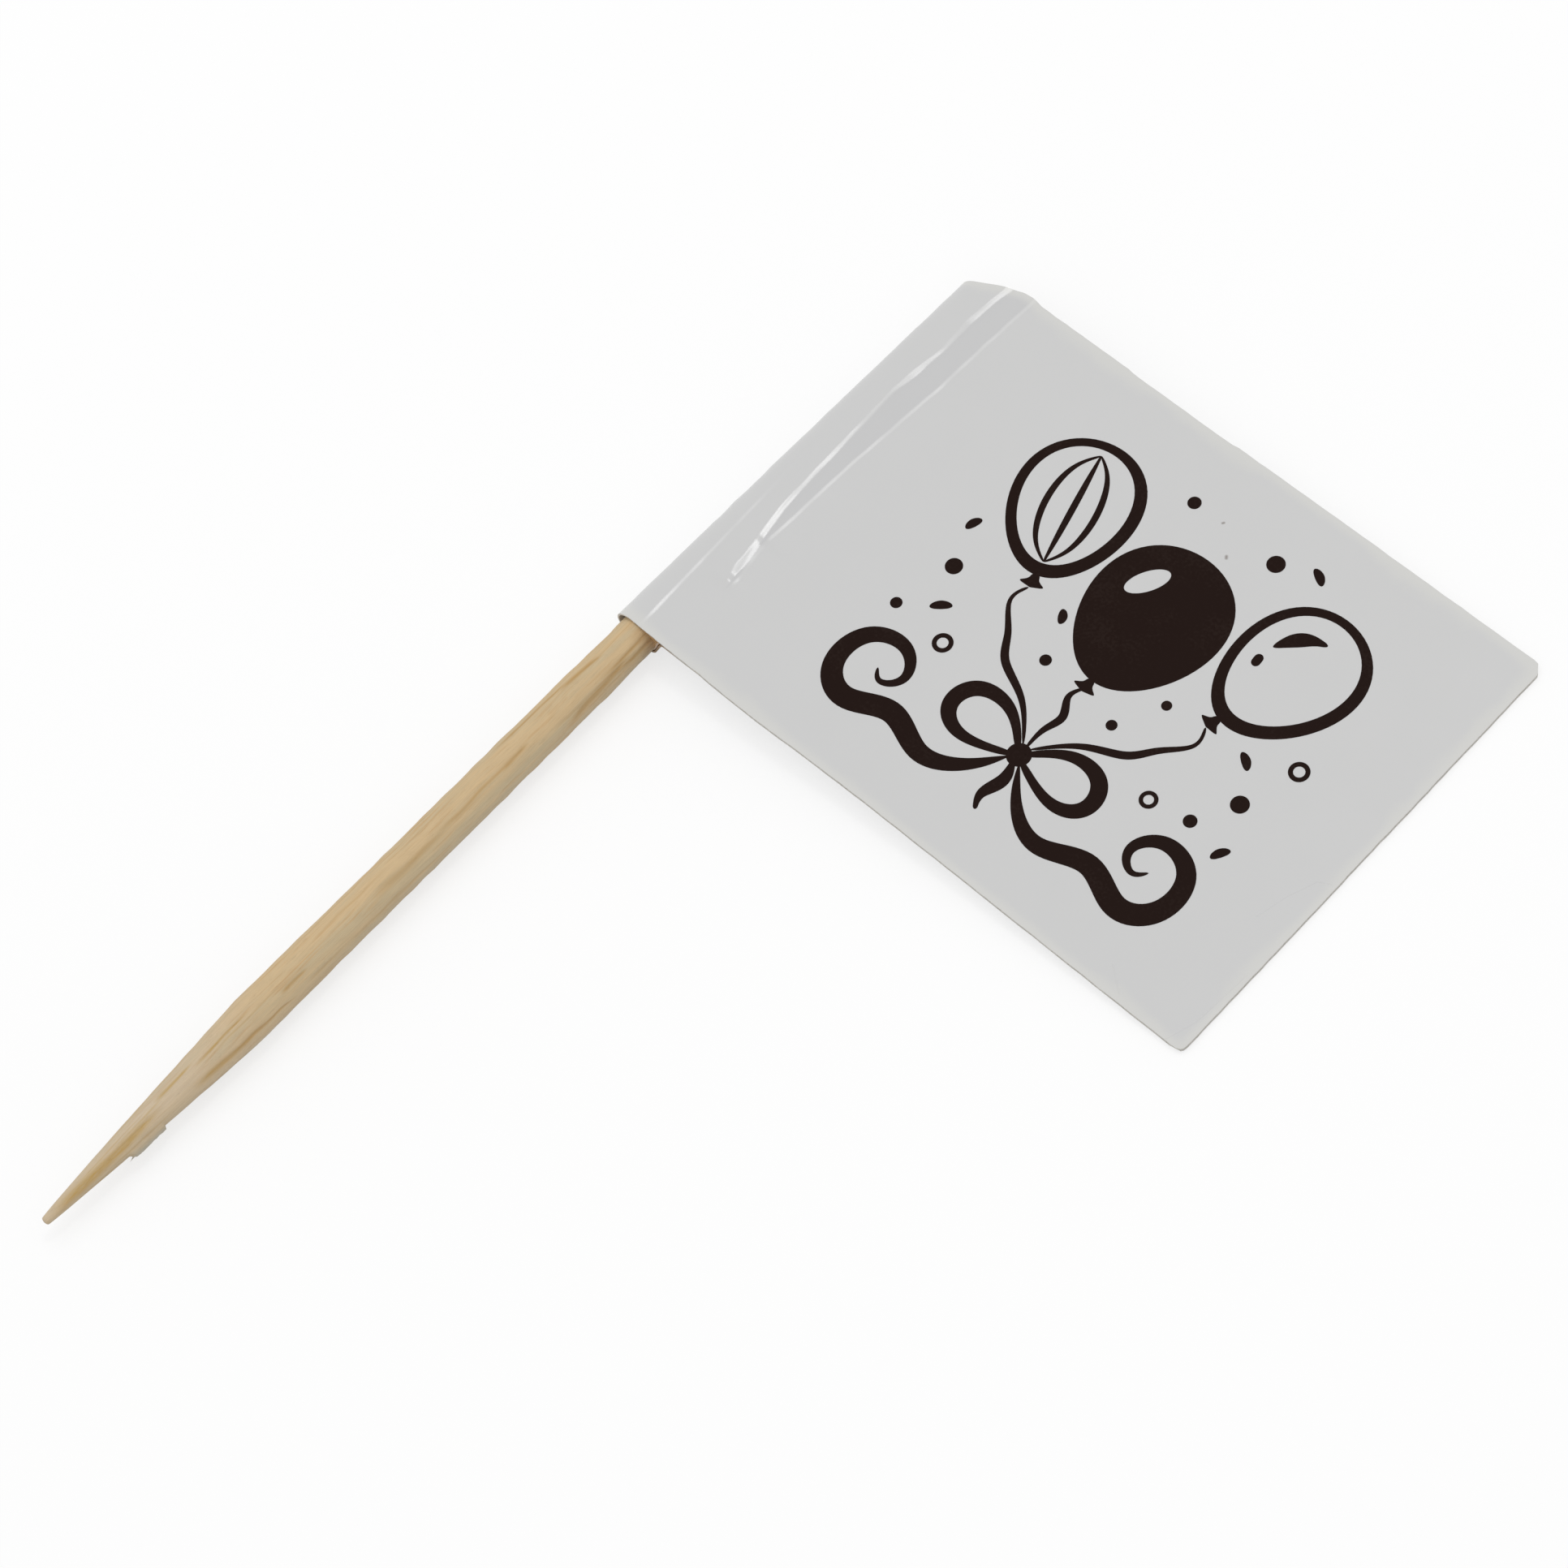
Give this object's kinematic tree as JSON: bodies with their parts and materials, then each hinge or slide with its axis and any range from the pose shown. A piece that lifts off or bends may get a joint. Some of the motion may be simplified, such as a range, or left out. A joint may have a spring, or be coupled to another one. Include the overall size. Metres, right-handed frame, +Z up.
{
  "type": "flag pick",
  "caption": "Small rectangular paper flag wrapped round and glued to a slim round wooden pick with a tapered point, pushed into food as a marker or topper.",
  "frame": {"origin": "on the table, below the middle of the object's outline as it lies face up", "axes": "+Y up the pick from its exposed point towards the flag, +X from the pick towards the fly edge, +Z up off the table, out of the printed face"},
  "size_m": [0.0362, 0.065, 0.0024],
  "materials": {
    "pick_wood": "bare, tumbled, fine straight grain",
    "coated_paper": "gloss coated on the outer face",
    "clear_adhesive": "dried film of clear adhesive",
    "print_ink": "dark ink printed on the coated paper, drawn in the visual model only"
  },
  "bodies": {
    "root": {"wooden_pick": "pick_wood", "paper_flag": "coated_paper", "leaf_adhesive": "clear_adhesive", "pick_adhesive": "clear_adhesive"}
  },
  "joints": []
}
